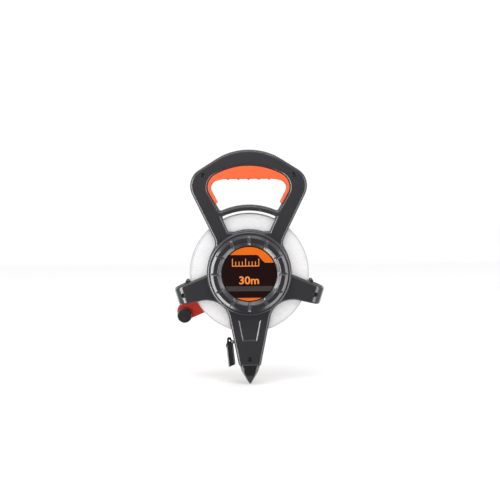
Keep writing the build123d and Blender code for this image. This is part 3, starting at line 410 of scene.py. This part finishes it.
def lettering(text, height, weight, thick, matrix):
    """Mesh of a short generic word or number, height tall, in the plane that matrix gives."""
    data = bpy.data.curves.new("lettering", "FONT")
    data.body = text
    data.size = height / 0.70
    data.align_x = "CENTER"
    data.offset = weight
    data.extrude = thick / 2
    data.resolution_u = 4
    holder = bpy.data.objects.new("lettering", data)
    mesh = bpy.data.meshes.new_from_object(holder)
    bpy.data.objects.remove(holder)
    mesh.transform(matrix)
    return mesh


def joined(name, meshes):
    """One mesh from several."""
    corners, faces = [], []
    for mesh in meshes:
        start = len(corners)
        corners += [v.co.copy() for v in mesh.vertices]
        faces += [[start + i for i in polygon.vertices] for polygon in mesh.polygons]
        bpy.data.meshes.remove(mesh)
    whole = bpy.data.meshes.new(name)
    whole.from_pydata(corners, [], faces)
    return whole


# ---- label ----
INK = 0.04 * MM                     # thickness of the printing
LABEL_MARGIN = 0.8 * MM             # from the label's edge to the printing
BOTTOM_HALF = 27                    # degrees on each side of the bottom
LENGTH_HEIGHT = 9.0 * MM
LENGTH_STRETCH = 1.09               # the lettering is this much wider than the font's
TICKS = 9
TICK_PITCH = 3.93
TICK_HALF = 0.5 * MM
RULER_FOOT = 10.0 * MM
ORANGE = (0.68, 0.118, 0.0005)
PALE_ORANGE = (0.76, 0.22, 0.035)
FACING = Matrix.Rotation(radians(90), 4, "X")


def arc(radius, start, end, steps=40):
    """Points on a circle about the hub, from start to end in degrees."""
    angles = [radians(start + (end - start) * i / steps) for i in range(steps + 1)]
    return [(radius * cos(a), radius * sin(a)) for a in angles]


def make_label():
    """The print on the round label: two orange fields, a length and a small ruler."""
    low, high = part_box("hub_label")
    radius = high.x - LABEL_MARGIN
    front = low.y
    orange = printed("label_orange", ORANGE)
    pale = printed("label_pale_orange", PALE_ORANGE)

    left_line, right_line = 22.8 * MM, 13.4 * MM
    start = degrees(atan2(right_line, sqrt(radius**2 - right_line**2)))
    end = 180 - degrees(atan2(left_line, sqrt(radius**2 - left_line**2)))
    shoulder = [(9.0, 22.8), (10.8, 22.0), (12.8, 19.8), (16.2, 15.6), (18.2, 13.9), (20.6, 13.4)]
    top = arc(radius, start, end) + [(x * MM, z * MM) for x, z in shoulder]
    prism("label_top_field", top, front - INK, front, orange, "frame", "label_film")

    bottom = arc(radius, -90 - BOTTOM_HALF, -90 + BOTTOM_HALF)
    prism("label_bottom_field", bottom, front - INK, front, orange, "frame", "label_film")
    band = arc(radius, -40, -27, 6) + arc(radius, -153, -140, 6)
    grey = printed("label_grey", (0.045, 0.036, 0.035))
    prism("label_band", band, front - INK / 2, front, grey, "frame", "label_film")

    at = Matrix.Translation((-0.3 * MM, front - INK, -12.0 * MM)) @ FACING
    at = at @ Matrix.Diagonal((LENGTH_STRETCH, 1, 1, 1))
    length = lettering("30m", LENGTH_HEIGHT, 0.30 * MM, INK, at)
    place("label_length", length, pale, "frame", "label_film")

    bars = [bar_mesh(-20.5 * MM, 11.9 * MM, 9.0 * MM, RULER_FOOT, front)]
    for i in range(TICKS):
        x = (-20.0 + TICK_PITCH * i) * MM
        tall = 8.4 * MM if i % 4 == 0 else 5.0 * MM
        bars.append(bar_mesh(x - TICK_HALF, x + TICK_HALF, RULER_FOOT, RULER_FOOT + tall, front))
    place("label_ruler", joined("label_ruler", bars), pale, "frame", "label_film")


def bar_mesh(left, right, bottom, top, front):
    """A thin upright printed bar on the label."""
    corners = [(x, y, z) for y in (front - INK, front) for x, z in
               ((left, bottom), (right, bottom), (right, top), (left, top))]
    faces = [(0, 1, 2, 3), (7, 6, 5, 4), (0, 4, 5, 1), (1, 5, 6, 2), (2, 6, 7, 3), (3, 7, 4, 0)]
    mesh = bpy.data.meshes.new("bar")
    mesh.from_pydata(corners, [], faces)
    return mesh


def make_numerals():
    """Centimetre numbers round the tape's outer turn."""
    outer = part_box("tape_coil")[1].x
    turns = int(2 * pi * outer / (10 * MM))
    meshes = []
    for i in range(turns):
        angle = (i + 0.5) * 10 * MM / outer
        outward = Vector((cos(angle), 0, sin(angle)))
        along = Vector((-sin(angle), 0, cos(angle)))
        up = outward.cross(along)
        turn = Matrix((along, up, outward)).transposed().to_4x4()
        turn.translation = outward * (outer + 0.03 * MM) - up * 1.3 * MM
        meshes.append(lettering(str(10 + i), 2.6 * MM, 0.05 * MM, 0.04 * MM, turn))
    ink = printed("tape_numeral_ink", TAPE_INK)
    place("tape_numerals", joined("tape_numerals", meshes), ink, "reel", "tape_fibreglass")


# ======================================================================
# Which piece gets which material
# ======================================================================

def dress(material, *names):
    """Gives CAD pieces this material."""
    for name in names:
        for slot in NODES[name].material_slots:
            slot.material = material


def dress_all():
    frame_grey = moulded("frame_dark_grey", (0.028, 0.0265, 0.030), 0.20, depth=0.006 * MM, wear=0.25)
    cover_grey = moulded("cover_dark_grey", (0.024, 0.023, 0.027), 0.17, depth=0.004 * MM, wear=0.2)
    dress(frame_grey, "front_frame", "rear_frame")
    dress(cover_grey, "hub_cover")
    dress(printed("label_dark", (0.012, 0.0035, 0.0040), 0.14), "hub_label")
    dress(rubber("grip_orange", (0.80, 0.098, 0.012), 0.50), "grip_insert")
    dress(rubber("rib_dark", (0.040, 0.031, 0.034), 0.62), "handle_rib_strip")
    dress(moulded("spike_black", (0.018, 0.018, 0.018), 0.16, grain=0.8 * MM, depth=0.003 * MM, wear=0.35),
          "ground_spike")
    dress(moulded("hook_black", (0.017, 0.017, 0.018), 0.12, grain=0.9 * MM, depth=0.004 * MM, wear=0.3),
          "end_hook")
    dress(frosted("reel_white", (0.79, 0.785, 0.79)), "front_flange", "rear_flange", "reel_drum")
    crank_red = moulded("crank_red", (0.68, 0.034, 0.015), 0.22, grain=0.7 * MM, depth=0.004 * MM,
                        mottle=0.05, wear=0.15)
    dress(crank_red, "crank_arm", "crank_hub")
    dress(moulded("knob_black", (0.012, 0.012, 0.012), 0.30), "crank_knob")
    dress(moulded("bearing_ivory", (0.60, 0.58, 0.52), 0.35, mottle=0.04), "front_bush", "rear_bush",
          "upper_guide_roller", "lower_guide_roller")
    dress(metal("screw_black", (0.09, 0.09, 0.095), 0.38), "frame_screws", "reel_screws", "axle_clip",
          "crank_hub_screw")
    dress(metal("steel_bright", (0.60, 0.60, 0.61), 0.26, (8, 1, 8)), "axle_shaft", "crank_hinge_pin",
          "knob_pin", "roller_pins", "end_loop", "tape_end_clip")
    dress(metal("rivet_brass", (0.66, 0.46, 0.16), 0.30), "end_rivet")
    dress(coil_tape(), "tape_coil")
    dress(straight_tape(), "tape_lead")


make_camera()
make_light()
make_floor()
dress_all()
make_label()
make_numerals()
